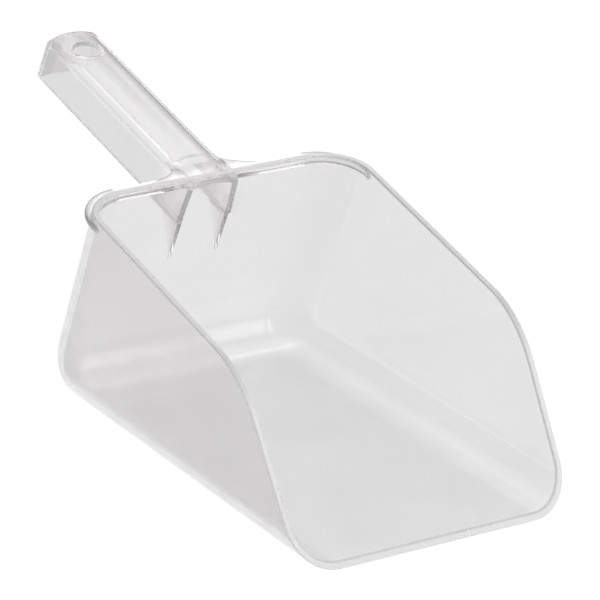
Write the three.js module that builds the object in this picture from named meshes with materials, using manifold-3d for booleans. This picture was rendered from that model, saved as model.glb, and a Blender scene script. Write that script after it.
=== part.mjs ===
// Clear moulded ice scoop. Millimetres, +Z up, standing on its flat floor.
// X is across the scoop, the mouth faces -Y and the handle reaches back along +Y.
// The real scoop is one moulding. Each named node is one section of that moulding,
// and neighbouring sections stand SEAM apart.
import * as THREE from 'three';
import { mergeVertices } from 'three/addons/utils/BufferGeometryUtils.js';
import Module from 'manifold-3d';

const wasm = await Module();
wasm.setup();

// ---- bowl ----
const WALL = 2.8;
const SEAM = 0.3;
const HALF_SEAM = SEAM / 2;
const FLOOR_HALF_WIDTH = 64;
const SIDE_DRAFT = 0.026;
const FLOOR_BACK_Y = 120;
const FRONT_Y = -114;
const BACK_LEAN = 0.5209;
const BOTTOM_RADIUS = 19;
const CORNER_RADIUS = 22;
const RIM_HEIGHT = 102;
const RIM_BACK_Y = FLOOR_BACK_Y - BACK_LEAN * RIM_HEIGHT;
const TUB_TOP = 125;
const TUB_OPEN_Y = -150;

// ---- mouth, seen from the side ----
const RIM_SLOPE = THREE.MathUtils.degToRad(12.75);
const MOUTH_SLOPE = THREE.MathUtils.degToRad(58.3);
const BEND_RADIUS = 50;

// ---- shelf behind the rim, in the frame of the rim plane ----
const SHELF_TOP = 2.6;
const SHELF_THICK = 2.7;
const SHELF_HALF_WIDTH = 67.5;
const SHELF_REACH = 5.8;
const SHELF_RADIUS = 22.3;
const SHELF_FRONT = -18;
const ROOT_HALF_WIDTH = 27;
const ROOT_FILLET = 14;

// ---- handle, in the frame of the rim plane ----
const HANDLE_END = 134.3;
const HANDLE_END_LEAN = 0.25;
const HANDLE_TOP_HALF = 12.4;
const HANDLE_FOOT_HALF = 13.4;
const HANDLE_CROWN = 3.1;
const HANDLE_SHOULDER = 5.0;
const HANDLE_EDGE_RADIUS = 2.4;
const HANDLE_FOOT = 26.2;
const HANDLE_SPLIT = 8.6;
const HANDLE_WALL = 2.8;
const HANDLE_CORNER_RADIUS = 2.2;
const HANDLE_END_BULGE = 1.2;
const ROOT_END = 24.5;
const HOLE_CENTRE = 117.5;
const HOLE_RADIUS = 6.8;

// ---- gussets under the handle ----
const GUSSET_TIP = 50;
const GUSSET_REACH = 17;
const GUSSET_THICK = 2.6;
const GUSSET_SIDE = 11.4;

// ---- where the bowl is divided into its sections ----
const MIDDLE_HALF = 42;
const BACK_ZONE_FLOOR = 85.4;
const BACK_ZONE_LEAN_START = 96;

const FAR = 260;

// ---------------------------------------------------------------- solids

function toManifold(geometry) {
  const bare = geometry.clone();
  bare.deleteAttribute('normal');
  bare.deleteAttribute('uv');
  const merged = mergeVertices(bare, 1e-5);
  const vertProperties = new Float32Array(merged.attributes.position.array);
  const triVerts = new Uint32Array(merged.index.array);
  const mesh = new wasm.Mesh({ numProp: 3, vertProperties, triVerts });
  return new wasm.Manifold(mesh);
}

function toGeometry(solid) {
  const mesh = solid.getMesh();
  const geometry = new THREE.BufferGeometry();
  const positions = new Float32Array(mesh.vertProperties);
  geometry.setAttribute('position', new THREE.BufferAttribute(positions, 3));
  geometry.setIndex(new THREE.BufferAttribute(new Uint32Array(mesh.triVerts), 1));
  geometry.computeVertexNormals();
  return geometry;
}

// A closed body through a stack of level outlines that all have the same count of points.
function stackedBody(outlines) {
  const count = outlines[0].length;
  const positions = outlines.flat().flatMap((p) => [p.x, p.y, p.z]);
  const index = [];
  for (let level = 0; level + 1 < outlines.length; level += 1) {
    for (let i = 0; i < count; i += 1) {
      const next = (i + 1) % count;
      const low = level * count;
      const high = low + count;
      index.push(low + i, low + next, high + next);
      index.push(low + i, high + next, high + i);
    }
  }
  const top = (outlines.length - 1) * count;
  for (let i = 1; i + 1 < count; i += 1) {
    index.push(0, i + 1, i);
    index.push(top, top + i, top + i + 1);
  }
  const geometry = new THREE.BufferGeometry();
  geometry.setAttribute('position', new THREE.Float32BufferAttribute(positions, 3));
  geometry.setIndex(index);
  return toManifold(geometry);
}

// A shape drawn in a side view: shape x runs along +Y and shape y along +Z.
function sidePrism(shape, x0, x1) {
  const geometry = new THREE.ExtrudeGeometry(shape, {
    depth: x1 - x0, bevelEnabled: false, curveSegments: 16,
  });
  const turn = new THREE.Matrix4().makeBasis(
    new THREE.Vector3(0, 1, 0), new THREE.Vector3(0, 0, 1), new THREE.Vector3(1, 0, 0),
  );
  turn.setPosition(x0, 0, 0);
  return toManifold(geometry.applyMatrix4(turn));
}

// A shape drawn looking straight down, raised from z0 to z1.
function planPrism(shape, z0, z1) {
  const geometry = new THREE.ExtrudeGeometry(shape, {
    depth: z1 - z0, bevelEnabled: false, curveSegments: 14,
  });
  return toManifold(geometry.translate(0, 0, z0));
}

// A shape drawn across the handle: shape x is across and shape y is up.
function crossPrism(shape, y0, y1) {
  const geometry = new THREE.ExtrudeGeometry(shape, {
    depth: y1 - y0, bevelEnabled: false, curveSegments: 10,
  });
  const turn = new THREE.Matrix4().makeBasis(
    new THREE.Vector3(1, 0, 0), new THREE.Vector3(0, 0, 1), new THREE.Vector3(0, -1, 0),
  );
  turn.setPosition(0, y1, 0);
  return toManifold(geometry.applyMatrix4(turn));
}

function block(x0, x1, y0, y1, z0, z1) {
  const geometry = new THREE.BoxGeometry(x1 - x0, y1 - y0, z1 - z0);
  geometry.translate((x0 + x1) / 2, (y0 + y1) / 2, (z0 + z1) / 2);
  return toManifold(geometry);
}

// Rim frame: origin at the middle of the rim's back edge, +Y back along the rim plane.
const rimFrame = new THREE.Matrix4().makeRotationX(RIM_SLOPE);
rimFrame.setPosition(0, RIM_BACK_Y, RIM_HEIGHT);

function fromRimFrame(solid) {
  return solid.transform(rimFrame.elements);
}

// ---------------------------------------------------------------- bowl

// Half width and back reach of the tub at one height, for a surface set in by `inset`.
function tubReach(z, inset) {
  const radius = BOTTOM_RADIUS - inset;
  const rise = z - BOTTOM_RADIUS;
  const sideAngle = Math.atan(SIDE_DRAFT);
  const leanAngle = Math.atan(BACK_LEAN);
  const sideCentre = FLOOR_HALF_WIDTH + SIDE_DRAFT * BOTTOM_RADIUS - BOTTOM_RADIUS / Math.cos(sideAngle);
  const backCentre = FLOOR_BACK_Y - BACK_LEAN * BOTTOM_RADIUS - BOTTOM_RADIUS / Math.cos(leanAngle);
  const bulge = Math.sqrt(Math.max(radius * radius - rise * rise, 0));
  const sideStraight = rise > -radius * Math.sin(sideAngle);
  const backStraight = rise > radius * Math.sin(leanAngle);
  const side = sideStraight
    ? FLOOR_HALF_WIDTH + SIDE_DRAFT * z - inset / Math.cos(sideAngle)
    : sideCentre + bulge;
  const back = backStraight
    ? FLOOR_BACK_Y - BACK_LEAN * z - inset / Math.cos(leanAngle)
    : backCentre + bulge;
  const drawnIn = rise < 0 ? radius - bulge : 0;
  return { side, back, corner: CORNER_RADIUS - inset - drawnIn };
}

const CORNER_STEPS = 10;

function tubOutline(z, inset) {
  const { side, back, corner } = tubReach(z, inset);
  const points = [];
  for (const hand of [1, -1]) {
    for (let i = 0; i <= CORNER_STEPS; i += 1) {
      const share = hand > 0 ? i / CORNER_STEPS : 1 - i / CORNER_STEPS;
      const angle = (share * Math.PI) / 2;
      const x = hand * (side - corner + corner * Math.cos(angle));
      points.push(new THREE.Vector3(x, back - corner + corner * Math.sin(angle), z));
    }
  }
  const mouthSide = tubReach(TUB_TOP, 0).side;
  points.push(new THREE.Vector3(-Math.min(side, mouthSide), TUB_OPEN_Y, z));
  points.push(new THREE.Vector3(Math.min(side, mouthSide), TUB_OPEN_Y, z));
  return points;
}

const FILLET_STEPS = 8;

function tub(inset) {
  const radius = BOTTOM_RADIUS - inset;
  const outlines = [];
  for (let i = 0; i <= FILLET_STEPS; i += 1) {
    const angle = (i / FILLET_STEPS) * (Math.PI / 2);
    outlines.push(tubOutline(BOTTOM_RADIUS - radius * Math.cos(angle), inset));
  }
  const leanTop = radius * Math.sin(Math.atan(BACK_LEAN));
  for (const share of [1 / 3, 2 / 3, 1]) {
    outlines.push(tubOutline(BOTTOM_RADIUS + leanTop * share, inset));
  }
  outlines.push(tubOutline(TUB_TOP, inset));
  return stackedBody(outlines);
}

// What lies under the rim plane and behind the sloping mouth.
function mouthPrism() {
  const rimDirection = new THREE.Vector2(-Math.cos(RIM_SLOPE), -Math.sin(RIM_SLOPE));
  const mouthDirection = new THREE.Vector2(-Math.cos(MOUTH_SLOPE), -Math.sin(MOUTH_SLOPE));
  const back = new THREE.Vector2(RIM_BACK_Y, RIM_HEIGHT);
  const front = new THREE.Vector2(FRONT_Y, 0);
  const span = front.clone().sub(back);
  const along = span.cross(mouthDirection) / rimDirection.cross(mouthDirection);
  const bend = back.clone().addScaledVector(rimDirection, along);
  const setBack = BEND_RADIUS * Math.tan((MOUTH_SLOPE - RIM_SLOPE) / 2);
  const bendStart = bend.clone().addScaledVector(rimDirection, -setBack);
  const bendEnd = bend.clone().addScaledVector(mouthDirection, setBack);
  const centre = new THREE.Vector2(
    bendStart.x + BEND_RADIUS * Math.sin(RIM_SLOPE),
    bendStart.y - BEND_RADIUS * Math.cos(RIM_SLOPE),
  );
  const low = front.clone().addScaledVector(mouthDirection, 10);
  const rear = back.clone().addScaledVector(rimDirection, -100);
  const shape = new THREE.Shape();
  shape.moveTo(rear.x, low.y);
  shape.lineTo(rear.x, rear.y);
  shape.lineTo(bendStart.x, bendStart.y);
  const start = Math.PI / 2 + RIM_SLOPE;
  const end = Math.PI / 2 + MOUTH_SLOPE;
  shape.absarc(centre.x, centre.y, BEND_RADIUS, start, end, false);
  shape.lineTo(bendEnd.x, bendEnd.y);
  shape.lineTo(low.x, low.y);
  return sidePrism(shape, -FAR, FAR);
}

// The part of space that holds the back wall and its corners, moved back by `shift`.
function backZone(shift) {
  const shape = new THREE.Shape();
  const kneeZ = (BACK_ZONE_LEAN_START - BACK_ZONE_FLOOR) / BACK_LEAN;
  shape.moveTo(BACK_ZONE_FLOOR + shift, -10);
  shape.lineTo(FAR, -10);
  shape.lineTo(FAR, TUB_TOP + 10);
  shape.lineTo(BACK_ZONE_LEAN_START - BACK_LEAN * (TUB_TOP + 10) + shift, TUB_TOP + 10);
  shape.lineTo(BACK_ZONE_FLOOR + shift, kneeZ);
  return sidePrism(shape, -FAR, FAR);
}

function bowlSections() {
  const shell = tub(0).subtract(tub(WALL)).intersect(mouthPrism());
  const rear = shell.intersect(backZone(HALF_SEAM));
  const fore = shell.subtract(backZone(-HALF_SEAM));
  const inner = MIDDLE_HALF - HALF_SEAM;
  const outer = MIDDLE_HALF + HALF_SEAM;
  const middle = block(-inner, inner, -FAR, FAR, -FAR, FAR);
  const left = block(-FAR, -outer, -FAR, FAR, -FAR, FAR);
  const right = block(outer, FAR, -FAR, FAR, -FAR, FAR);
  return {
    floor: fore.intersect(middle),
    left_side_wall: fore.intersect(left),
    right_side_wall: fore.intersect(right),
    back_wall: rear.intersect(middle),
    left_back_corner: rear.intersect(left),
    right_back_corner: rear.intersect(right),
  };
}

// ---------------------------------------------------------------- shelf and handle root

function shelfOutline() {
  const centreX = SHELF_HALF_WIDTH - SHELF_RADIUS;
  const centreY = SHELF_REACH - SHELF_RADIUS;
  const filletX = HANDLE_TOP_HALF + ROOT_FILLET;
  const filletY = SHELF_REACH + ROOT_FILLET;
  const shape = new THREE.Shape();
  shape.moveTo(-SHELF_HALF_WIDTH, SHELF_FRONT);
  shape.lineTo(SHELF_HALF_WIDTH, SHELF_FRONT);
  shape.absarc(centreX, centreY, SHELF_RADIUS, 0, Math.PI / 2, false);
  shape.absarc(filletX, filletY, ROOT_FILLET, -Math.PI / 2, -Math.PI, true);
  shape.lineTo(HANDLE_TOP_HALF, ROOT_END);
  shape.lineTo(-HANDLE_TOP_HALF, ROOT_END);
  shape.absarc(-filletX, filletY, ROOT_FILLET, 0, -Math.PI / 2, true);
  shape.absarc(-centreX, centreY, SHELF_RADIUS, Math.PI / 2, Math.PI, false);
  return shape;
}

// ---------------------------------------------------------------- handle

// Outline across the handle: crowned top, rounded top edges, drafted sides. `inset` draws it in.
function handleSection(inset, foot) {
  const half = HANDLE_TOP_HALF - inset;
  const footHalf = HANDLE_FOOT_HALF - inset;
  const round = Math.max(HANDLE_EDGE_RADIUS - inset, 0.6);
  const shoulder = -HANDLE_SHOULDER - inset;
  const crown = -HANDLE_CROWN - inset;
  const shape = new THREE.Shape();
  shape.moveTo(-footHalf, -foot);
  shape.lineTo(footHalf, -foot);
  shape.lineTo(half, shoulder - round);
  shape.quadraticCurveTo(half, shoulder, half - round, shoulder + 0.3);
  shape.quadraticCurveTo(0, 2 * crown - shoulder - 0.3, round - half, shoulder + 0.3);
  shape.quadraticCurveTo(-half, shoulder, -half, shoulder - round);
  return shape;
}

// Plan of the handle's end: rounded corners and a slightly bowed end.
function handlePlan(inset) {
  const half = HANDLE_FOOT_HALF + 1 - inset;
  const end = HANDLE_END - inset;
  const corner = HANDLE_CORNER_RADIUS - inset / 2;
  const shape = new THREE.Shape();
  shape.moveTo(-half, -40);
  shape.lineTo(half, -40);
  shape.lineTo(half, end - HANDLE_END_BULGE - corner);
  shape.quadraticCurveTo(half, end - HANDLE_END_BULGE, half - corner, end - HANDLE_END_BULGE);
  shape.quadraticCurveTo(0, end + HANDLE_END_BULGE, corner - half, end - HANDLE_END_BULGE);
  shape.quadraticCurveTo(-half, end - HANDLE_END_BULGE, -half, end - HANDLE_END_BULGE - corner);
  return shape;
}

// The handle's end leans outward towards its foot.
const endLean = new THREE.Matrix4().makeShear(0, 0, 0, 0, 0, -HANDLE_END_LEAN);

function handleSolid(inset, foot, height) {
  const length = crossPrism(handleSection(inset, foot), -40, HANDLE_END + 20);
  const plan = planPrism(handlePlan(inset), -foot - 5, height).transform(endLean.elements);
  return length.intersect(plan);
}

function handleShell() {
  const outer = handleSolid(0, HANDLE_FOOT, 5);
  const cavity = handleSolid(HANDLE_WALL, HANDLE_FOOT + 3, 5);
  const hole = new THREE.CylinderGeometry(HOLE_RADIUS, HOLE_RADIUS, 12, 48);
  hole.rotateX(Math.PI / 2).translate(0, HOLE_CENTRE, -HANDLE_CROWN);
  return outer.subtract(cavity).subtract(toManifold(hole));
}

function gusset(hand) {
  const shape = new THREE.Shape();
  shape.moveTo(-20, -HANDLE_FOOT - SEAM);
  shape.lineTo(-20, -GUSSET_TIP);
  shape.lineTo(GUSSET_TIP * Math.tan(Math.atan(BACK_LEAN) - RIM_SLOPE) + 0.8, -GUSSET_TIP);
  shape.quadraticCurveTo(
    HANDLE_FOOT / 2, -HANDLE_FOOT - 8, HANDLE_FOOT / 4 + GUSSET_REACH, -HANDLE_FOOT - SEAM,
  );
  const side = hand * GUSSET_SIDE;
  return sidePrism(shape, side - GUSSET_THICK / 2, side + GUSSET_THICK / 2);
}

function handleSections() {
  const clearance = tub(-SEAM);
  const shell = handleShell();
  const splitTop = -HANDLE_SPLIT;
  const endWall = HANDLE_END - HANDLE_END_BULGE - HANDLE_WALL - 1;
  const upper = block(-FAR, FAR, -FAR, FAR, splitTop + HALF_SEAM, FAR);
  const lower = block(-FAR, FAR, -FAR, endWall - HALF_SEAM, -FAR, splitTop - HALF_SEAM);
  const rear = block(-FAR, FAR, endWall + HALF_SEAM, FAR, -FAR, splitTop - HALF_SEAM);
  const left = block(-FAR, 0, -FAR, FAR, -FAR, FAR);
  const right = block(0, FAR, -FAR, FAR, -FAR, FAR);
  const beyondRoot = block(-FAR, FAR, ROOT_END + HALF_SEAM, FAR, -FAR, FAR);
  const rootZone = block(
    -ROOT_HALF_WIDTH + HALF_SEAM, ROOT_HALF_WIDTH - HALF_SEAM,
    -FAR, ROOT_END - HALF_SEAM, -FAR, FAR,
  );
  const leftShelf = block(-FAR, -ROOT_HALF_WIDTH - HALF_SEAM, -FAR, FAR, -FAR, FAR);
  const rightShelf = block(ROOT_HALF_WIDTH + HALF_SEAM, FAR, -FAR, FAR, -FAR, FAR);

  const shelf = planPrism(shelfOutline(), -SHELF_TOP - SHELF_THICK, -SHELF_TOP);
  const top = shell.intersect(upper);
  const behindWall = (solid) => fromRimFrame(solid).subtract(clearance).intersect(backOfBowl());
  return {
    left_rim_shelf: behindWall(shelf.intersect(leftShelf)),
    right_rim_shelf: behindWall(shelf.intersect(rightShelf)),
    handle_root: behindWall(shelf.add(top).intersect(rootZone)),
    handle_top: fromRimFrame(top.intersect(beyondRoot)),
    handle_left_side: behindWall(shell.intersect(lower).intersect(left)),
    handle_right_side: behindWall(shell.intersect(lower).intersect(right)),
    handle_end_wall: fromRimFrame(shell.intersect(rear)),
    left_gusset: behindWall(gusset(-1)),
    right_gusset: behindWall(gusset(1)),
  };
}

// Space behind the middle of the bowl, so nothing outside the walls is kept inside them.
function backOfBowl() {
  return block(-FAR, FAR, 0, FAR, 0, FAR);
}

// ---------------------------------------------------------------- assembly

const group = new THREE.Group();
group.name = 'ice_scoop';

const CLEAR_COLOUR = 0xdfe0df;

for (const [name, solid] of Object.entries({ ...bowlSections(), ...handleSections() })) {
  const material = new THREE.MeshStandardMaterial({
    color: CLEAR_COLOUR, roughness: 0.12, metalness: 0,
  });
  const mesh = new THREE.Mesh(toGeometry(solid), material);
  mesh.name = name;
  group.add(mesh);
}

export default group;
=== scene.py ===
"""Looks of the clear moulded ice scoop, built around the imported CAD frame.

The CAD divides the one moulding into named sections with seams between them. Seams would show
as lines in clear plastic, so the looks use one continuous piece that stands for all sections.
Shapes are worked out in millimetres, in the CAD frame, and turned into metres at the end.
"""
import math

import bmesh
import bpy
import numpy as np
from mathutils import Matrix, Vector
from mathutils.geometry import delaunay_2d_cdt


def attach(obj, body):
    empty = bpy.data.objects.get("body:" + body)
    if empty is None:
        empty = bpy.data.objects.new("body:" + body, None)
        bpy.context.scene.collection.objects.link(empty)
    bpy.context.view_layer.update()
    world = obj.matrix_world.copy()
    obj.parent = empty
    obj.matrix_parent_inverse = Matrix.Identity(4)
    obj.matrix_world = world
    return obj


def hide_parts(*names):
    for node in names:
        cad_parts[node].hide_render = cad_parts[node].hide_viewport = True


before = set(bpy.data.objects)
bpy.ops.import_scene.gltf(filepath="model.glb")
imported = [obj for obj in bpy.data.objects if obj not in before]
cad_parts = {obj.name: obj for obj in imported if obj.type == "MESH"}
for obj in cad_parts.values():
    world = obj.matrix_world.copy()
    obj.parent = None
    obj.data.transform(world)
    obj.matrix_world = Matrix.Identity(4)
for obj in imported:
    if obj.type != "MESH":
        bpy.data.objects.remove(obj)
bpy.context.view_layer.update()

MM = 0.001

# ---- bowl, the CAD's own values in millimetres ----
WALL = 2.8
FLOOR_HALF_WIDTH = 64.0
SIDE_DRAFT = 0.026
FLOOR_BACK_Y = 120.0
FRONT_Y = -114.0
BACK_LEAN = 0.5209
BOTTOM_RADIUS = 19.0
CORNER_RADIUS = 22.0
RIM_HEIGHT = 102.0
RIM_BACK_Y = FLOOR_BACK_Y - BACK_LEAN * RIM_HEIGHT
RIM_SLOPE = math.radians(12.75)
MOUTH_SLOPE = math.radians(58.3)
BEND_RADIUS = 50.0
SIDE_ANGLE = math.atan(SIDE_DRAFT)
LEAN_ANGLE = math.atan(BACK_LEAN)
FOOT_CORNER = CORNER_RADIUS - BOTTOM_RADIUS
SIDE_CENTRE = FLOOR_HALF_WIDTH + SIDE_DRAFT * BOTTOM_RADIUS - BOTTOM_RADIUS / math.cos(SIDE_ANGLE)
BACK_CENTRE = FLOOR_BACK_Y - BACK_LEAN * BOTTOM_RADIUS - BOTTOM_RADIUS / math.cos(LEAN_ANGLE)
FLAT_X = SIDE_CENTRE - FOOT_CORNER
FLAT_Y = BACK_CENTRE - FOOT_CORNER

# ---- shelf behind the rim and handle, in the frame of the rim plane ----
SHELF_TOP = 2.6
SHELF_THICK = 2.7
SHELF_TAPER = 0.9
SHELF_HALF_WIDTH = 67.5
SHELF_REACH = 5.8
SHELF_RADIUS = 22.3
ROOT_FILLET = 14.0
HANDLE_END = 134.3
HANDLE_END_LEAN = 0.25
END_LEAN_START = 90.0
END_LEAN_SPAN = 30.0
HANDLE_TOP_HALF = 12.4
HANDLE_CROWN = 3.1
CROWN_DROP = 1.6
CROWN_SPAN = 10.0
HANDLE_EDGE_RADIUS = 2.4
HANDLE_FOOT = 26.2
HANDLE_DRAFT = 1.0
HANDLE_WALL = 2.8
HANDLE_CORNER = 2.2
HANDLE_BULGE = 1.2
HOLE_CENTRE = 117.5
HOLE_RADIUS = 6.8
GUSSET_TIP = 50.0
GUSSET_REACH = 17.0
GUSSET_SIDE = 11.4
GUSSET_HALF_THICK = 1.15
GUSSET_TAPER = 0.45
GUSSET_SUNK = 3.0

# ---- rounding of the moulding's edges ----
LIP_RADIUS = 0.75
LIP_STEPS = 5
LIP_MARGIN = 0.5
PLATE_RADIUS = 1.0
FOOT_RADIUS = 0.5
FOOT_STEPS = 5
ROOF_RADIUS = 1.2
HOLE_FLARE = 0.6
CREASE = math.radians(32)

# ---- sampling of curved surfaces ----
FRONT_SHARES = np.linspace(0.0, 1.0, 26)
FILLET_SHARES = np.linspace(0.0, 1.0, 15)
SIDE_SHARES = np.linspace(0.0, 1.0, 85)
BACK_SHARES = np.linspace(0.0, 1.0, 26)
CORNER_STEPS = 32
CORNER_SHARES = np.linspace(0.0, 1.0, CORNER_STEPS + 1)
RADIUS_SHARES = np.linspace(0.0, 1.0, 13)
ROW_SPACING = 3.0
ROW_COUNT = 34
MOUTH_SAMPLES = 400
BOWL_CLEARANCE = 0.9
SHELF_CLEARANCE = 0.7
LENGTH_SAMPLES = 24
ROUND_SAMPLES = 8
BULGE_SAMPLES = 6
HOLE_SIDES = 64
QUARTER = math.pi / 2
EPSILON = 1e-6

# ---- how far shapes run on past the bowl, to be trimmed or left unused ----
MOUTH_RUN_ON = 120.0
RIM_RUN_ON = 200.0
TRIM_TOP = 140.0
TRIM_FRONT = -40.0
TRIM_SPACING = 2.0
HANDLE_START = -40.0


# ---------------------------------------------------------------- bowl surface

def level(run, inset):
    """Height reached after going `run` along the wall, from the edge of the flat floor."""
    radius = BOTTOM_RADIUS - inset
    quarter = radius * QUARTER
    if run < quarter:
        return BOTTOM_RADIUS - radius * math.cos(run / radius)
    return BOTTOM_RADIUS + run - quarter


def run_at(height, inset):
    """The inverse of level()."""
    radius = BOTTOM_RADIUS - inset
    if height < BOTTOM_RADIUS:
        return radius * math.acos(min(1.0, (BOTTOM_RADIUS - height) / radius))
    return radius * QUARTER + height - BOTTOM_RADIUS


def tub_reach(z, inset):
    """Half width, back reach and corner radius of the tub at one height."""
    radius = BOTTOM_RADIUS - inset
    rise = z - BOTTOM_RADIUS
    bulge = math.sqrt(max(radius * radius - rise * rise, 0.0))
    side = SIDE_CENTRE + bulge
    back = BACK_CENTRE + bulge
    if rise > -radius * math.sin(SIDE_ANGLE):
        side = FLOOR_HALF_WIDTH + SIDE_DRAFT * z - inset / math.cos(SIDE_ANGLE)
    if rise > radius * math.sin(LEAN_ANGLE):
        back = FLOOR_BACK_Y - BACK_LEAN * z - inset / math.cos(LEAN_ANGLE)
    drawn_in = radius - bulge if rise < 0 else 0.0
    return side, back, CORNER_RADIUS - inset - drawn_in


def fold(point, inset):
    """Carries a point of the tub's flat pattern to its place on the tub."""
    x, y = point
    hand = -1.0 if x < 0 else 1.0
    out_x = abs(x) - FLAT_X
    out_y = y - FLAT_Y
    if out_x > 0 and out_y > 0:
        reach = math.hypot(out_x, out_y)
    else:
        reach = max(out_x, out_y)
    run = reach - FOOT_CORNER
    if run <= 0:
        return (x, y, inset)
    z = level(run, inset)
    side, back, corner = tub_reach(z, inset)
    if out_x > 0 and out_y > 0:
        angle = math.atan2(out_y, out_x)
        return (
            hand * (side - corner + corner * math.cos(angle)),
            back - corner + corner * math.sin(angle),
            z,
        )
    if out_x > 0:
        share = min(max((y - FRONT_Y) / (FLAT_Y - FRONT_Y), 0.0), 1.0)
        return (hand * side, y + share * (back - corner - FLAT_Y), z)
    return (x * (side - corner) / FLAT_X, back, z)


def mouth_profile(set_back):
    """Side view of the rim from front to back as (y, z) points.

    Its bend has the rim's own centre and a radius smaller by `set_back`. Both straight
    stretches run on past the bowl.
    """
    rim = np.array([-math.cos(RIM_SLOPE), -math.sin(RIM_SLOPE)])
    mouth = np.array([-math.cos(MOUTH_SLOPE), -math.sin(MOUTH_SLOPE)])
    rear = np.array([RIM_BACK_Y, RIM_HEIGHT])
    front = np.array([FRONT_Y, 0.0])
    span = front - rear
    cross = rim[0] * mouth[1] - rim[1] * mouth[0]
    along = (span[0] * mouth[1] - span[1] * mouth[0]) / cross
    bend = rear + rim * along
    tangent = BEND_RADIUS * math.tan((MOUTH_SLOPE - RIM_SLOPE) / 2)
    start = bend - rim * tangent
    centre = start + BEND_RADIUS * np.array([math.sin(RIM_SLOPE), -math.cos(RIM_SLOPE)])
    radius = BEND_RADIUS - set_back
    angles = np.linspace(QUARTER + MOUTH_SLOPE, QUARTER + RIM_SLOPE, 25)
    bent = [centre + radius * np.array([math.cos(a), math.sin(a)]) for a in angles]
    low = bent[0] + mouth * MOUTH_RUN_ON
    high = bent[-1] - rim * RIM_RUN_ON
    return np.array([low, *bent, high])


def rim_pattern(set_back, inset):
    """The rim as a closed loop of points in the flat pattern, `set_back` short of the real edge."""
    profile = mouth_profile(set_back)
    radius = BOTTOM_RADIUS - inset

    def mouth_y(z):
        return float(np.interp(z, profile[:, 1], profile[:, 0]))

    def side_point(z):
        side, back, corner = tub_reach(z, inset)
        shift = back - corner - FLAT_Y
        stretch = shift / (FLAT_Y - FRONT_Y)
        y = (mouth_y(z) + stretch * FRONT_Y) / (1 + stretch)
        if y < FRONT_Y:
            y = mouth_y(z)
        return (FLAT_X + FOOT_CORNER + run_at(z, inset), y)

    rise = math.tan(RIM_SLOPE)
    rim_z = RIM_HEIGHT - set_back / math.cos(RIM_SLOPE)
    inner_back = FLOOR_BACK_Y - inset / math.cos(LEAN_ANGLE)
    corner_radius = CORNER_RADIUS - inset

    def corner_z(angle):
        back = inner_back - corner_radius * (1 - math.sin(angle)) - RIM_BACK_Y
        return (rim_z + back * rise) / (1 + BACK_LEAN * rise)

    half = []
    front = side_point(inset)
    flat_edge = FLAT_X + FOOT_CORNER
    for share in FRONT_SHARES[:-1]:
        half.append((flat_edge * share, front[1]))
    for share in FILLET_SHARES[:-1]:
        half.append(side_point(level(share * radius * QUARTER, inset)))
    top_z = corner_z(0.0)
    heights = np.linspace(BOTTOM_RADIUS, top_z, MOUTH_SAMPLES)
    depths = np.array([mouth_y(z) for z in heights])
    steps = np.hypot(np.diff(heights), np.diff(depths))
    length = np.concatenate([[0.0], np.cumsum(steps)])
    for share in SIDE_SHARES[:-1]:
        half.append(side_point(float(np.interp(share * length[-1], length, heights))))
    for share in CORNER_SHARES:
        angle = share * QUARTER
        reach = FOOT_CORNER + run_at(corner_z(angle), inset)
        half.append((FLAT_X + reach * math.cos(angle), FLAT_Y + reach * math.sin(angle)))
    last = half[-1][1]
    for share in BACK_SHARES[1:]:
        half.append((FLAT_X * (1 - share), last))
    mirrored = [(-x, y) for x, y in half[-2:0:-1]]
    return half + mirrored


def lattice():
    """Sample points of the flat pattern: closer together where the tub curves."""
    runs = list(RADIUS_SHARES * BOTTOM_RADIUS * QUARTER)
    runs += [runs[-1] + ROW_SPACING * k for k in range(1, ROW_COUNT + 1)]
    across = list(np.linspace(-FLAT_X, FLAT_X, 15))
    along = list(np.linspace(FRONT_Y, FLAT_Y, 36))
    points = [(x, y) for x in across for y in along]
    for run in runs:
        reach = FOOT_CORNER + run
        points += [(hand * (FLAT_X + reach), y) for y in along for hand in (-1, 1)]
        points += [(x, FLAT_Y + reach) for x in across]
        for step in range(1, CORNER_STEPS):
            angle = step / CORNER_STEPS * QUARTER
            for hand in (-1, 1):
                x = hand * (FLAT_X + reach * math.cos(angle))
                points.append((x, FLAT_Y + reach * math.sin(angle)))
    return np.array(points)


def inside(points, loop, clearance):
    """Which points lie inside a closed loop, and at least `clearance` from it."""
    a = np.array(loop)
    b = np.roll(a, -1, axis=0)
    px, py = points[:, 0][:, None], points[:, 1][:, None]
    crosses = (a[:, 1] > py) != (b[:, 1] > py)
    slope = (b[:, 0] - a[:, 0]) / np.where(b[:, 1] == a[:, 1], 1e-12, b[:, 1] - a[:, 1])
    hits = crosses & (px < a[:, 0] + (py - a[:, 1]) * slope)
    within = hits.sum(axis=1) % 2 == 1
    edge = b - a
    share = ((px - a[:, 0]) * edge[:, 0] + (py - a[:, 1]) * edge[:, 1])
    share = np.clip(share / np.maximum((edge ** 2).sum(axis=1), 1e-12), 0, 1)
    gap = np.hypot(px - a[:, 0] - share * edge[:, 0], py - a[:, 1] - share * edge[:, 1])
    return within & (gap.min(axis=1) > clearance)


def triangulate(loop, spots, clearance):
    """Triangles that fill a closed loop and use the spots inside it. The loop's points come first."""
    kept = spots[inside(spots, loop, clearance)]
    coords = [Vector(p) for p in loop] + [Vector(p) for p in kept]
    ring = list(range(len(loop)))
    made = delaunay_2d_cdt(coords, [], [ring], 1, EPSILON, True)
    verts, faces, origins = made[0], made[2], made[3]
    order = {}
    for new, olds in enumerate(origins):
        for old in olds:
            order[old] = new
    middles = np.array([np.mean([verts[i] for i in face], axis=0) for face in faces])
    filled = inside(middles, loop, 0.0)
    faces = [tuple(face) for face, keep in zip(faces, filled) if keep]
    return [tuple(v) for v in verts], faces, [order[i] for i in ring]


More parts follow.
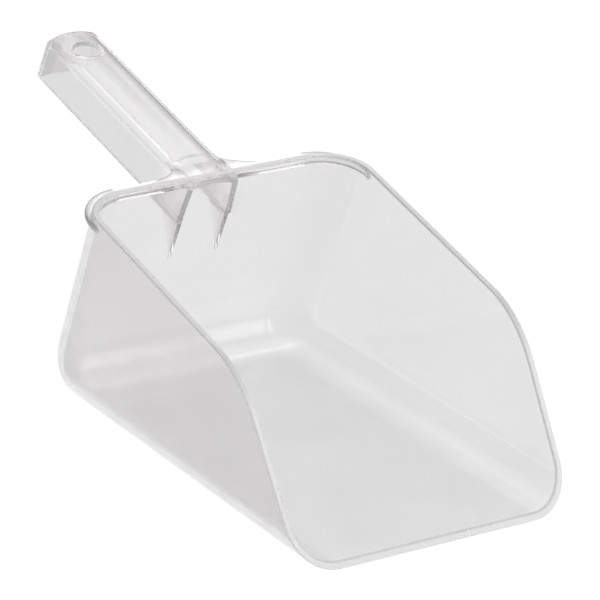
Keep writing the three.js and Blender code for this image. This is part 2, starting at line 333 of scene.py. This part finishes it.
def unit(vectors):
    """The same directions at length 1."""
    return vectors / np.linalg.norm(vectors, axis=-1, keepdims=True)


def lip_rings(edge, across, way, steps):
    """Loops that round one side of the lip, from where the wall ends to the lip's top."""
    rings = []
    for step in steps:
        angle = step / LIP_STEPS * QUARTER
        inward = LIP_RADIUS * (1 - math.cos(angle))
        rings.append(edge + across * inward + way * LIP_RADIUS * math.sin(angle))
    return rings


def bowl_mesh():
    """The bowl as a closed shell with a rounded lip all round its mouth and rim."""
    spots = lattice()
    verts, faces, borders = [], [], []
    for inset in (0.0, WALL):
        loop = rim_pattern(LIP_RADIUS + LIP_MARGIN, inset)
        flat, triangles, ring = triangulate(loop, spots, BOWL_CLEARANCE)
        base = len(verts)
        verts += [fold(p, inset) for p in flat]
        faces += [tuple(base + i for i in t) for t in triangles]
        borders.append([base + i for i in ring])
    outer = np.array([verts[i] for i in borders[0]])
    inner = np.array([verts[i] for i in borders[1]])
    outer_edge = np.array([fold(p, 0.0) for p in rim_pattern(LIP_RADIUS, 0.0)])
    inner_edge = np.array([fold(p, WALL) for p in rim_pattern(LIP_RADIUS, WALL)])
    across = unit(inner_edge - outer_edge)
    upward = range(LIP_STEPS + 1)
    rings = lip_rings(outer_edge, across, unit(outer_edge - outer), upward)
    rings += lip_rings(inner_edge, -across, unit(inner_edge - inner), reversed(upward))
    loops = [borders[0]]
    for ring in rings:
        loops.append([len(verts) + i for i in range(len(ring))])
        verts += [tuple(p) for p in ring]
    loops.append(borders[1])
    faces += bridge(loops, closed=True)
    return verts, faces


def bridge(loops, closed):
    """Quads between each pair of neighbouring loops."""
    faces = []
    count = len(loops[0])
    for low, high in zip(loops, loops[1:]):
        for i in range(count if closed else count - 1):
            j = (i + 1) % count
            faces.append((low[i], low[j], high[j], high[i]))
    return faces


def tub_mesh(inset, top):
    """A closed block of the tub's own form, used to trim what joins the bowl's back."""
    radius = BOTTOM_RADIUS - inset
    heights = [level(share * radius * QUARTER, inset) for share in RADIUS_SHARES]
    heights += [BOTTOM_RADIUS + TRIM_SPACING * k for k in range(1, 6)] + [top]
    verts, faces, loops = [], [], []
    for z in heights:
        side, back, corner = tub_reach(z, inset)
        outline = [(side, TRIM_FRONT)]
        outline += arc((side - corner, back - corner), corner, 0.0, QUARTER, 24)
        outline += [(-x, y) for x, y in outline[::-1]]
        loops.append([len(verts) + i for i in range(len(outline))])
        verts += [(x, y, z) for x, y in outline]
    faces += bridge(loops, closed=True)
    faces += [tuple(loops[0][::-1]), tuple(loops[-1])]
    return verts, faces


# ---------------------------------------------------------------- shelf, handle and gussets

def crown(x):
    """Height of the handle's crowned top over its width."""
    return -HANDLE_CROWN - CROWN_DROP * (x / CROWN_SPAN) ** 2


def smooth(share):
    """Eases in and out between 0 and 1."""
    share = min(max(share, 0.0), 1.0)
    return share * share * (3 - 2 * share)


def arc(centre, radius, start, end, steps):
    """Points along an arc, ends included."""
    angles = np.linspace(start, end, steps + 1)
    return [(centre[0] + radius * math.cos(a), centre[1] + radius * math.sin(a)) for a in angles]


def shelf_outline():
    """Plan of the shelf and of the web that flares from the handle, right half first."""
    centre = (SHELF_HALF_WIDTH - SHELF_RADIUS, SHELF_REACH - SHELF_RADIUS)
    into_wall = [(60.0, -27.0), (63.0, -26.0), (65.2, -23.6), (66.6, -20.8), (67.3, -18.4)]
    half = into_wall + arc(centre, SHELF_RADIUS, 0.0, QUARTER, 24)
    fillet = (HANDLE_TOP_HALF + ROOT_FILLET - 0.6, SHELF_REACH + ROOT_FILLET)
    half += [(x, SHELF_REACH) for x in np.linspace(40.0, fillet[0] + 3.0, 5)]
    half += arc(fillet, ROOT_FILLET, -QUARTER, -math.pi - 0.12, 18)
    return half + [(-x, y) for x, y in half[::-1]]


def shelf_height(x, v):
    """Top of the shelf: flat, then falling to just under the handle's crown."""
    share = smooth((v - SHELF_REACH) / ROOT_FILLET)
    return -SHELF_TOP + share * (crown(min(abs(x), CROWN_SPAN)) - 0.5 + SHELF_TOP)


def shelf_thickness(v):
    """The shelf thins out where it runs into the handle's roof."""
    return SHELF_THICK - SHELF_TAPER * smooth((v - SHELF_REACH) / ROOT_FILLET)


def shelf_mesh():
    """The shelf behind the rim, with a rounded edge."""
    outline = np.array(shelf_outline())
    ahead = np.roll(outline, -1, axis=0) - outline
    behind = outline - np.roll(outline, 1, axis=0)
    tangent = unit(unit(ahead) + unit(behind))
    outward = np.stack([tangent[:, 1], -tangent[:, 0]], axis=1)
    inner = outline - outward * PLATE_RADIUS
    across = np.linspace(-60.0, 60.0, 41)
    along = np.linspace(-24.0, 20.0, 23)
    spots = np.array([(x, v) for x in across for v in along])
    flat, triangles, ring = triangulate([tuple(p) for p in inner], spots, SHELF_CLEARANCE)
    verts = [(x, v, shelf_height(x, v)) for x, v in flat]
    faces = list(triangles)
    below = len(verts)
    verts += [(x, v, shelf_height(x, v) - shelf_thickness(v)) for x, v in flat]
    faces += [tuple(below + i for i in t[::-1]) for t in triangles]
    loops = [ring]
    for turn in np.linspace(0.0, math.pi, 11)[1:-1]:
        out = PLATE_RADIUS * math.sin(turn)
        loops.append(range(len(verts), len(verts) + len(inner)))
        for (x, v), (nx, nv) in zip(inner, outward):
            radius = min(PLATE_RADIUS, shelf_thickness(v) / 2)
            drop = radius * (1 - math.cos(turn))
            if turn > QUARTER + EPSILON:
                drop = shelf_thickness(v) - radius * (1 + math.cos(turn))
            verts.append((x + nx * out, v + nv * out, shelf_height(x, v) - drop))
    loops.append([below + i for i in ring])
    faces += bridge(loops, closed=True)
    return verts, faces


def handle_plan(half, end, corner):
    """Plan of the handle from its left root round the end to its right root."""
    if half < EPSILON:
        line = [(0.0, v) for v in np.linspace(HANDLE_START, end, LENGTH_SAMPLES)]
        line += [(0.0, end)] * (ROUND_SAMPLES + BULGE_SAMPLES)
        return line[:-1] + line[::-1]
    bulge = HANDLE_BULGE * half / HANDLE_TOP_HALF
    corner = max(min(corner, half * 0.5), 0.02)
    right = [(half, v) for v in np.linspace(HANDLE_START, end - bulge - corner, LENGTH_SAMPLES)]
    for share in np.linspace(0.0, 1.0, ROUND_SAMPLES + 1)[1:]:
        rest = 1 - share
        x = half - corner * share * share
        right.append((x, end - bulge - corner * rest * rest))
    for share in np.linspace(0.0, 1.0, BULGE_SAMPLES + 1)[1:]:
        x = (half - corner) * (1 - share)
        flat = 1 - (x / max(half - corner, EPSILON)) ** 2
        right.append((x, end - bulge + bulge * flat))
    return [(-x, v) for x, v in right[:-1]] + right[::-1]


def lean_end(x, v, z):
    """Moves a point back along the handle with its depth, so that the end wall leans."""
    return (x, v - HANDLE_END_LEAN * z * smooth((v - END_LEAN_START) / END_LEAN_SPAN), z)


def quarter_drop(inset, radius):
    """How far a quarter round has fallen at `inset` from its outer edge."""
    if inset >= radius:
        return 0.0
    return radius - math.sqrt(max(radius ** 2 - (radius - inset) ** 2, 0.0))


def handle_sides(edge, half, end, corner, shares):
    """Outlines of the handle's drafted sides, from `edge` at share 0 to its foot at share 1."""
    low = FOOT_RADIUS - HANDLE_FOOT
    rings = []
    for share in shares:
        plan = handle_plan(half + HANDLE_DRAFT * share, end, corner)
        rings.append([lean_end(x, v, top[2] + share * (low - top[2]))
                      for (x, v), top in zip(plan, edge)])
    return rings


def foot_rings(plan, across, angles):
    """Outlines that round one side of the handle's foot."""
    rings = []
    for angle in angles:
        place = plan + across * FOOT_RADIUS * (1 - math.cos(angle))
        depth = FOOT_RADIUS - HANDLE_FOOT - FOOT_RADIUS * math.sin(angle)
        rings.append([lean_end(x, v, depth) for x, v in place])
    return rings


def handle_roof():
    """Outlines of the channel's inside, from its foot to the middle of its roof."""
    half = HANDLE_TOP_HALF - HANDLE_WALL
    end = HANDLE_END - HANDLE_WALL
    corner = HANDLE_CORNER - HANDLE_WALL / 2
    below_roof = HANDLE_WALL + ROOF_RADIUS
    edge = [(x, v, crown(x) - below_roof) for x, v in handle_plan(half, end, corner)]
    rings = handle_sides(edge, half, end, corner, (0.96, 0.6, 0.3, 0.04, 0.0))
    insets = [ROOF_RADIUS * (1 - math.cos(a)) for a in np.linspace(0.0, QUARTER, 6)[1:]]
    insets += list(np.linspace(ROOF_RADIUS + 0.6, half, 9))
    for inset in insets:
        drop = HANDLE_WALL + quarter_drop(inset, ROOF_RADIUS)
        plan = handle_plan(half - inset, end - inset, corner - inset)
        rings.append([lean_end(x, v, crown(x) - drop) for x, v in plan])
    return rings


def handle_mesh():
    """The handle: a channel open below, crowned on top, rounded on every outer edge."""
    rings = []
    radius = HANDLE_EDGE_RADIUS
    insets = list(np.linspace(HANDLE_TOP_HALF, radius + 0.6, 10))
    insets += [radius * (1 - math.sin(a)) for a in np.linspace(0.0, QUARTER, 9)]
    insets.sort(reverse=True)
    for inset in insets:
        drop = quarter_drop(inset, radius)
        plan = handle_plan(HANDLE_TOP_HALF - inset, HANDLE_END - inset, HANDLE_CORNER - inset)
        rings.append([lean_end(x, v, crown(x) - drop) for x, v in plan])
    shares = (0.04, 0.3, 0.6, 0.96, 1.0)
    rings += handle_sides(rings[-1], HANDLE_TOP_HALF, HANDLE_END, HANDLE_CORNER, shares)
    foot_half = HANDLE_TOP_HALF + HANDLE_DRAFT
    inner_corner = HANDLE_CORNER - HANDLE_WALL / 2
    outer = np.array(handle_plan(foot_half, HANDLE_END, HANDLE_CORNER))
    inner = np.array(handle_plan(foot_half - HANDLE_WALL, HANDLE_END - HANDLE_WALL, inner_corner))
    across = unit(inner - outer)
    down = np.linspace(0.0, QUARTER, FOOT_STEPS + 1)
    rings += foot_rings(outer, across, down[1:])
    rings += foot_rings(inner, -across, down[::-1])
    return ring_body(rings + handle_roof())


def ring_body(rings):
    """A closed body from open outlines in turn. A flat face closes it where the outlines begin."""
    verts, loops = [], []
    for ring in rings:
        loops.append(range(len(verts), len(verts) + len(ring)))
        verts += ring
    faces = bridge(loops, closed=False)
    start = [loop[0] for loop in loops]
    finish = [loop[-1] for loop in loops]
    faces.append(tuple(start + finish[::-1]))
    return verts, faces


def hole_mesh():
    """The hanging hole as a plug that flares at both ends, which rounds the hole's edges."""
    clear_by = 3.0
    sunk = 0.02
    widest = HOLE_RADIUS + HOLE_FLARE
    bends = np.linspace(0.0, QUARTER, 5)
    widths = [HOLE_RADIUS + HOLE_FLARE * (1 - math.sin(a)) for a in bends]
    drops = [HOLE_FLARE * (1 - math.cos(a)) - sunk for a in bends]
    profile = [(widest, clear_by)]
    profile += [(width, -drop) for width, drop in zip(widths, drops)]
    profile += [(width, drop - HANDLE_WALL) for width, drop in zip(widths[::-1], drops[::-1])]
    profile.append((widest, -HANDLE_WALL - clear_by))
    verts, loops = [], []
    for radius, rise in profile:
        loops.append(range(len(verts), len(verts) + HOLE_SIDES))
        for k in range(HOLE_SIDES):
            angle = k / HOLE_SIDES * 2 * math.pi
            x = radius * math.cos(angle)
            verts.append((x, HOLE_CENTRE + radius * math.sin(angle), crown(x) + rise))
    faces = bridge(loops, closed=True)
    faces += [tuple(loops[0]), tuple(reversed(loops[-1]))]
    return verts, faces


def gusset_mesh(hand):
    """A fin under the handle's side wall: thin, tapering to its tip, with a rounded outer edge."""
    lean = math.tan(LEAN_ANGLE - RIM_SLOPE)
    start = np.array([HANDLE_FOOT / 4 + GUSSET_REACH, -HANDLE_FOOT + 2.5])
    pull = np.array([HANDLE_FOOT / 2, -HANDLE_FOOT - 8.0])
    tip = np.array([GUSSET_TIP * lean - 0.6, -GUSSET_TIP])
    rings = []
    for share in np.linspace(0.0, 1.0, 25):
        rest = 1 - share
        edge = rest * rest * start + 2 * rest * share * pull + share * share * tip
        slope = 2 * rest * (pull - start) + 2 * share * (tip - pull)
        outward = unit(np.array([-slope[1], slope[0]]))
        if outward[0] < 0:
            outward = -outward
        half = GUSSET_HALF_THICK - GUSSET_TAPER * share
        root = np.array([lean * -edge[1] - GUSSET_SUNK, edge[1]])
        ring = [(-half, *root)]
        for angle in np.linspace(-math.pi / 2, math.pi / 2, 9):
            place = edge + outward * half * (math.cos(angle) - 1)
            ring.append((half * math.sin(angle), *place))
        ring.append((half, *root))
        rings.append([(hand * GUSSET_SIDE + x, v, d) for x, v, d in ring])
    verts, loops = [], []
    for ring in rings:
        loops.append(range(len(verts), len(verts) + len(ring)))
        verts += ring
    faces = bridge(loops, closed=True)
    faces += [tuple(reversed(loops[0])), tuple(loops[-1])]
    return verts, faces


# ---------------------------------------------------------------- joining into one moulding

RIM_FRAME = Matrix.Translation((0.0, RIM_BACK_Y, RIM_HEIGHT)) @ Matrix.Rotation(RIM_SLOPE, 4, "X")


WELD_MM = 0.002


def solid(name, mesh_data, matrix=None):
    """A closed object in metres from vertices and faces in millimetres."""
    verts, faces = mesh_data
    mesh = bpy.data.meshes.new(name)
    mesh.from_pydata([tuple(v) for v in verts], [], [tuple(f) for f in faces])
    made = bmesh.new()
    made.from_mesh(mesh)
    if matrix is not None:
        made.transform(matrix)
    bmesh.ops.remove_doubles(made, verts=made.verts, dist=WELD_MM)
    bmesh.ops.dissolve_degenerate(made, edges=made.edges, dist=WELD_MM)
    bmesh.ops.recalc_face_normals(made, faces=made.faces)
    bmesh.ops.scale(made, vec=(MM, MM, MM), verts=made.verts)
    made.to_mesh(mesh)
    made.free()
    piece = bpy.data.objects.new(name, mesh)
    bpy.context.scene.collection.objects.link(piece)
    return piece


def apply_modifiers(piece):
    """Replaces a piece's mesh by the mesh that its modifiers make."""
    graph = bpy.context.evaluated_depsgraph_get()
    mesh = bpy.data.meshes.new_from_object(piece.evaluated_get(graph))
    old = piece.data
    piece.modifiers.clear()
    piece.data = mesh
    bpy.data.meshes.remove(old)


def combine(piece, other, operation):
    """Joins another closed object to a piece, or cuts it away, and removes the other."""
    change = piece.modifiers.new(operation, "BOOLEAN")
    change.operation = operation
    change.solver = "MANIFOLD"
    change.object = other
    apply_modifiers(piece)
    bpy.data.objects.remove(other)


def moulding():
    """The bowl, shelf, handle and gussets joined into one closed piece."""
    scoop = solid("clear_scoop_moulding", bowl_mesh())
    back = solid("handle", handle_mesh(), RIM_FRAME)
    combine(back, solid("shelf", shelf_mesh(), RIM_FRAME), "UNION")
    for hand in (-1, 1):
        combine(back, solid("gusset", gusset_mesh(hand), RIM_FRAME), "UNION")
    combine(back, solid("hole", hole_mesh(), RIM_FRAME), "DIFFERENCE")
    combine(back, solid("trim", tub_mesh(WALL / 2, TRIM_TOP)), "DIFFERENCE")
    combine(scoop, back, "UNION")
    return scoop


def finish_surface(piece):
    """Smooth shading, with creases only where two surfaces of the moulding really meet."""
    made = bmesh.new()
    made.from_mesh(piece.data)
    bmesh.ops.remove_doubles(made, verts=made.verts, dist=WELD_MM * MM)
    bmesh.ops.dissolve_degenerate(made, edges=made.edges, dist=WELD_MM * MM)
    for face in made.faces:
        face.smooth = True
    for edge in made.edges:
        edge.smooth = edge.calc_face_angle(0.0) < CREASE
    made.to_mesh(piece.data)
    made.free()
    weigh = piece.modifiers.new("even_shading", "WEIGHTED_NORMAL")
    weigh.keep_sharp = True
    weigh.weight = 90


# ---------------------------------------------------------------- regions of the moulding

# Clarity is the share of light that a wall lets through, and it scales the base colour. On the
# handle, crown, shelf, gussets and back corners it also carries painted shade and painted light.
# Grain is added roughness.
WALL_CLARITY = 0.79
FLOOR_CLARITY = 0.87
# Painted light: the shelf is nearly clear, which lifts the dark arcs at its rounded edges.
SHELF_PAINTED_LIGHT_CLARITY = 0.95
# Painted light: the handle's top is kept lighter than its sides.
CROWN_PAINTED_LIGHT_CLARITY = 0.84
# Painted shadow: the handle's sides are darker, standing in for the shadow under the handle seen
# through its walls.
HANDLE_PAINTED_SHADOW_CLARITY = 0.68
# Painted light: nearly clear, so the gussets, the handle's end wall and the handle's root read
# lighter.
NEAR_CLEAR_PAINTED_LIGHT = 0.97
LIP_CLARITY = 0.88
FOOT_CLARITY = 1.0
# Painted shade: how much darker the walls are made where they round the back corners.
CORNER_PAINTED_SHADE = 0.1
LIP_GRAIN = 0.2
SHELF_END_GRAIN = 0.45
END_WALL_GRAIN = 0.5
FOOT_GRAIN = 0.8

# How far the regions reach, in millimetres.
NEAR = 0.1
BEHIND_WALL = 0.4
FLOOR_SLACK = 2.0
HANDLE_SLACK = 1.0
END_WALL_SLACK = 0.2
CROWN_SLACK = 2.2
PLATE_SLACK = 0.3
GUSSET_START = 0.5
GUSSET_DEPTH = 26.0
SHELF_WRAP = 22.0
ROOT_FADE = 20.0


def gap_to_path(points, path):
    """Distance of each point to a path of straight stretches, both in one plane."""
    a, b = path[:-1], path[1:]
    edge = b - a
    from_a = points[:, None, :] - a
    share = np.clip((from_a * edge).sum(axis=2) / (edge ** 2).sum(axis=1), 0.0, 1.0)
    return np.linalg.norm(from_a - share[:, :, None] * edge, axis=2).min(axis=1)


def find_regions(x, y, z):
    """Which points lie in each region, and a share that grows from the root to 1 on the handle, along
    which the handle's painted shadow fades in.
    """
    along = y - RIM_BACK_Y
    rise = z - RIM_HEIGHT
    run = along * math.cos(RIM_SLOPE) + rise * math.sin(RIM_SLOPE)
    depth = along * math.sin(RIM_SLOPE) - rise * math.cos(RIM_SLOPE)
    behind = y > FLOOR_BACK_Y - BACK_LEAN * z + BEHIND_WALL
    handle_half = HANDLE_TOP_HALF + HANDLE_DRAFT + HANDLE_SLACK
    handle = behind & (np.abs(x) < handle_half) & (depth > 0)
    end_face = HANDLE_END - HANDLE_WALL - END_WALL_SLACK + HANDLE_END_LEAN * depth
    under_foot = depth - HANDLE_FOOT
    from_rim = gap_to_path(np.stack([y, z], axis=1), mouth_profile(0.0))
    lip = (from_rim < LIP_RADIUS + NEAR) & ~behind
    corner_x = np.abs(x) - SHELF_HALF_WIDTH + SHELF_RADIUS
    corner_run = np.maximum(run - SHELF_REACH + SHELF_RADIUS, 0.0)
    in_round = np.hypot(corner_x, corner_run) > SHELF_RADIUS - PLATE_RADIUS - NEAR
    plate = (depth > SHELF_TOP - NEAR) & (depth < SHELF_TOP + SHELF_THICK + PLATE_SLACK)
    shelf_end = plate & in_round & (corner_x > 0) & (run > -SHELF_WRAP) & ~lip
    regions = {
        "floor": z < WALL + FLOOR_SLACK,
        "handle": handle,
        "end_wall": handle & (run > end_face),
        "gusset": behind & (under_foot > GUSSET_START) & (under_foot < GUSSET_DEPTH),
        "crown": handle & (depth < HANDLE_CROWN + HANDLE_WALL + CROWN_SLACK),
        "shelf": (plate & behind & ~handle) | shelf_end,
        "shelf_end": shelf_end,
        "lip": lip,
        "foot": handle & (np.abs(under_foot) < FOOT_RADIUS + NEAR),
    }
    painted_shadow_share = np.clip((run - SHELF_REACH) / ROOT_FADE, 0.0, 1.0)
    return regions, painted_shadow_share


def mark_regions(piece):
    """Stores how clear the plastic is, including painted shade and painted light in some regions, and
    where it is worn or grained, for the material.
    """
    vertices = piece.data.vertices
    places = np.empty(len(vertices) * 3)
    vertices.foreach_get("co", places)
    x, y, z = (places.reshape(-1, 3) / MM).T
    regions, painted_shadow_share = find_regions(x, y, z)
    normals = np.empty(len(places))
    vertices.foreach_get("normal", normals)
    # Painted shade: the outside darkens where it rounds the back corners, most where it faces halfway
    # between side and back.
    outward_x, outward_y = np.clip([normals[0::3] * np.sign(x), normals[1::3]], 0.0, 1.0)
    clarity = WALL_CLARITY * (1.0 - 2.0 * CORNER_PAINTED_SHADE * outward_x * outward_y)
    clarity[regions["floor"]] = FLOOR_CLARITY
    # Painted shadow on the handle's sides: lighter near the root, darker along the handle.
    painted_shadow_clarity = NEAR_CLEAR_PAINTED_LIGHT + (HANDLE_PAINTED_SHADOW_CLARITY - NEAR_CLEAR_PAINTED_LIGHT) * painted_shadow_share
    clarity[regions["handle"]] = painted_shadow_clarity[regions["handle"]]
    # Painted light: the handle's end wall and the gussets are lightened.
    clarity[regions["end_wall"]] = NEAR_CLEAR_PAINTED_LIGHT
    clarity[regions["gusset"]] = NEAR_CLEAR_PAINTED_LIGHT
    # Painted light on the handle's top, lighter than its painted-shadow sides.
    clarity[regions["crown"]] = CROWN_PAINTED_LIGHT_CLARITY
    # Painted light on the shelf.
    clarity[regions["shelf"]] = SHELF_PAINTED_LIGHT_CLARITY
    clarity[regions["lip"]] = LIP_CLARITY
    clarity[regions["foot"]] = FOOT_CLARITY
    grain = np.zeros(len(x))
    grain[regions["lip"]] = LIP_GRAIN
    grain[regions["shelf_end"]] = SHELF_END_GRAIN
    grain[regions["end_wall"]] = END_WALL_GRAIN
    grain[regions["foot"]] = FOOT_GRAIN
    for name, values in (("clarity", clarity), ("edge", regions["lip"]), ("grain", grain)):
        layer = piece.data.attributes.new(name, "FLOAT", "POINT")
        layer.data.foreach_set("value", values.astype(np.float32))


# ---------------------------------------------------------------- material

IOR_POLYCARBONATE = 1.585
WORN_TRANSMISSION = 0.2


def attribute(nodes, name):
    """The output that reads one of the values stored by mark_regions()."""
    node = nodes.new("ShaderNodeAttribute")
    node.attribute_name = name
    return node.outputs["Fac"]


def noise(tree, place, scale, detail):
    """A noise pattern fixed to the object."""
    node = tree.nodes.new("ShaderNodeTexNoise")
    node.inputs["Scale"].default_value = scale
    node.inputs["Detail"].default_value = detail
    tree.links.new(place, node.inputs["Vector"])
    return node.outputs["Fac"]


def map_range(tree, value, start, end, low, high):
    """Turns the range from `start` to `end` of a value into the range from `low` to `high`."""
    node = tree.nodes.new("ShaderNodeMapRange")
    node.inputs["From Min"].default_value = start
    node.inputs["From Max"].default_value = end
    node.inputs["To Min"].default_value = low
    node.inputs["To Max"].default_value = high
    tree.links.new(value, node.inputs["Value"])
    return node.outputs["Result"]


def clear_plastic():
    """Clear polycarbonate: faint haze, fine scuffs and the slight flow marks of moulding, tinted by
    the stored clarity, which carries painted shade and painted light.
    """
    material = bpy.data.materials.new("clear_polycarbonate")
    material.use_nodes = True
    tree = material.node_tree
    nodes, links = tree.nodes, tree.links
    nodes.clear()
    output = nodes.new("ShaderNodeOutputMaterial")
    shader = nodes.new("ShaderNodeBsdfPrincipled")
    shader.inputs["IOR"].default_value = IOR_POLYCARBONATE
    links.new(shader.outputs["BSDF"], output.inputs["Surface"])
    place = nodes.new("ShaderNodeTexCoord").outputs["Object"]

    haze = nodes.new("ShaderNodeValToRGB")
    hazy, clean = haze.color_ramp.elements
    hazy.position, clean.position = 0.3, 0.7
    hazy.color = (0.963, 0.951, 0.951, 1.0)
    clean.color = (1.0, 0.99, 0.99, 1.0)
    links.new(noise(tree, place, 22.0, 5.0), haze.inputs["Fac"])
    # The tint is the haze times the stored clarity, so painted shade and painted light reach the base
    # colour here.
    tint = nodes.new("ShaderNodeVectorMath")
    tint.operation = "SCALE"
    links.new(haze.outputs["Color"], tint.inputs["Vector"])
    links.new(attribute(nodes, "clarity"), tint.inputs["Scale"])
    links.new(tint.outputs["Vector"], shader.inputs["Base Color"])

    clear = map_range(tree, attribute(nodes, "edge"), 0.0, 1.0, 1.0, WORN_TRANSMISSION)
    links.new(clear, shader.inputs["Transmission Weight"])

    scuffs = map_range(tree, noise(tree, place, 160.0, 8.0), 0.35, 0.75, 0.06, 0.13)
    roughness = nodes.new("ShaderNodeMath")
    roughness.operation = "ADD"
    links.new(attribute(nodes, "grain"), roughness.inputs[0])
    links.new(scuffs, roughness.inputs[1])
    links.new(roughness.outputs["Value"], shader.inputs["Roughness"])

    flow = nodes.new("ShaderNodeBump")
    flow.inputs["Strength"].default_value = 0.02
    flow.inputs["Distance"].default_value = 0.001
    links.new(noise(tree, place, 35.0, 2.0), flow.inputs["Height"])
    links.new(flow.outputs["Normal"], shader.inputs["Normal"])
    return material


scoop = moulding()
finish_surface(scoop)
mark_regions(scoop)
scoop.data.materials.clear()
scoop.data.materials.append(clear_plastic())
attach(scoop, "root")
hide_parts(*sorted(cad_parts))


# ---------------------------------------------------------------- floor, light and camera

FLOOR_REACH = 4.0
FLOOR_DROP = 0.0006
FLOOR_GLOW = 0.95
FLOOR_GREY = 0.15
WORLD_GREY = 0.45


def grey(share):
    """An opaque grey, from 0 for black to 1 for white."""
    return (share, share, share, 1.0)


def floor_material():
    """A pale sheet that glows a little, so that it looks evenly lit and shows no shadow."""
    material = bpy.data.materials.new("pale_floor")
    material.use_nodes = True
    tree = material.node_tree
    shader = tree.nodes["Principled BSDF"]
    shader.inputs["Base Color"].default_value = grey(FLOOR_GREY)
    shader.inputs["Roughness"].default_value = 0.9
    shader.inputs["Specular IOR Level"].default_value = 0.0
    shader.inputs["Emission Color"].default_value = grey(1.0)
    shader.inputs["Emission Strength"].default_value = FLOOR_GLOW
    return material


def floor_plane():
    mesh = bpy.data.meshes.new("floor_sheet")
    ways = ((-1, -1), (1, -1), (1, 1), (-1, 1))
    corners = [(FLOOR_REACH * x, FLOOR_REACH * y, -FLOOR_DROP) for x, y in ways]
    mesh.from_pydata(corners, [], [(0, 1, 2, 3)])
    sheet = bpy.data.objects.new("floor_sheet", mesh)
    sheet.data.materials.append(floor_material())
    bpy.context.scene.collection.objects.link(sheet)


LIGHT_AIM = Vector((0.0, 0.05, 0.06))
LIGHT_DISTANCE = 1.3
LIGHT_STAGGER = 0.1
LIGHT_SHARES = (1.0, 0.86, 0.72, 0.58, 0.44)


def softbox(name, way, along, size, power):
    """A softbox that shines from `way`, its long side along `along`, brightest in its middle.

    It is a nest of lights. They stand at slightly different distances, because only one of
    several lights in one plane shows in a reflection.
    """
    toward = Vector(way).normalized()
    side = (Vector(along) - toward * toward.dot(Vector(along))).normalized()
    turn = Matrix((side, toward.cross(side), toward)).transposed()
    for share in LIGHT_SHARES:
        lamp = bpy.data.lights.new(name, "AREA")
        lamp.shape = "RECTANGLE"
        lamp.size, lamp.size_y = size[0] * share, size[1] * share
        lamp.energy = power * share ** 2
        holder = bpy.data.objects.new(name, lamp)
        bpy.context.scene.collection.objects.link(holder)
        holder.location = LIGHT_AIM + toward * (LIGHT_DISTANCE + LIGHT_STAGGER * share)
        holder.rotation_euler = turn.to_euler()


# Light that enters an edge turns many times inside the wall before it comes out.
LIGHT_TURNS = 64


def studio():
    """Soft light from behind, from the right and from the front, in a grey room."""
    scene = bpy.context.scene
    world = bpy.data.worlds.new("studio")
    world.use_nodes = True
    background = world.node_tree.nodes["Background"]
    background.inputs["Color"].default_value = grey(WORLD_GREY)
    background.inputs["Strength"].default_value = 1.0
    scene.world = world
    scene.view_settings.view_transform = "Standard"
    scene.view_settings.look = "None"
    scene.cycles.max_bounces = LIGHT_TURNS
    scene.cycles.transmission_bounces = LIGHT_TURNS
    scene.cycles.glossy_bounces = LIGHT_TURNS
    softbox("back_softbox", (0.19, 0.56, 0.82), (0.445, 0.06, -0.26), (0.92, 0.50), 0.56)
    softbox("right_softbox", (0.53, 0.57, 0.62), (1.0, -0.9, 0.0), (0.50, 0.58), 0.26)
    softbox("front_softbox", (0.45, -0.75, 0.56), (1.0, 0.0, 0.0), (1.5, 1.4), 2.9)


CAMERA_PLACE = (-0.76374, -1.31244, 0.65346)
CAMERA_TILT = math.radians(68.845)
CAMERA_TURN = math.radians(-30.277)
CAMERA_LENS = 236.8


def camera():
    """A camera far away, with a long lens and no roll."""
    data = bpy.data.cameras.new("camera")
    data.sensor_width = 36.0
    data.lens = CAMERA_LENS
    data.clip_start, data.clip_end = 0.05, 20.0
    holder = bpy.data.objects.new("camera", data)
    holder.location = CAMERA_PLACE
    holder.rotation_euler = (CAMERA_TILT, 0.0, CAMERA_TURN)
    bpy.context.scene.collection.objects.link(holder)
    bpy.context.scene.camera = holder


floor_plane()
studio()
camera()
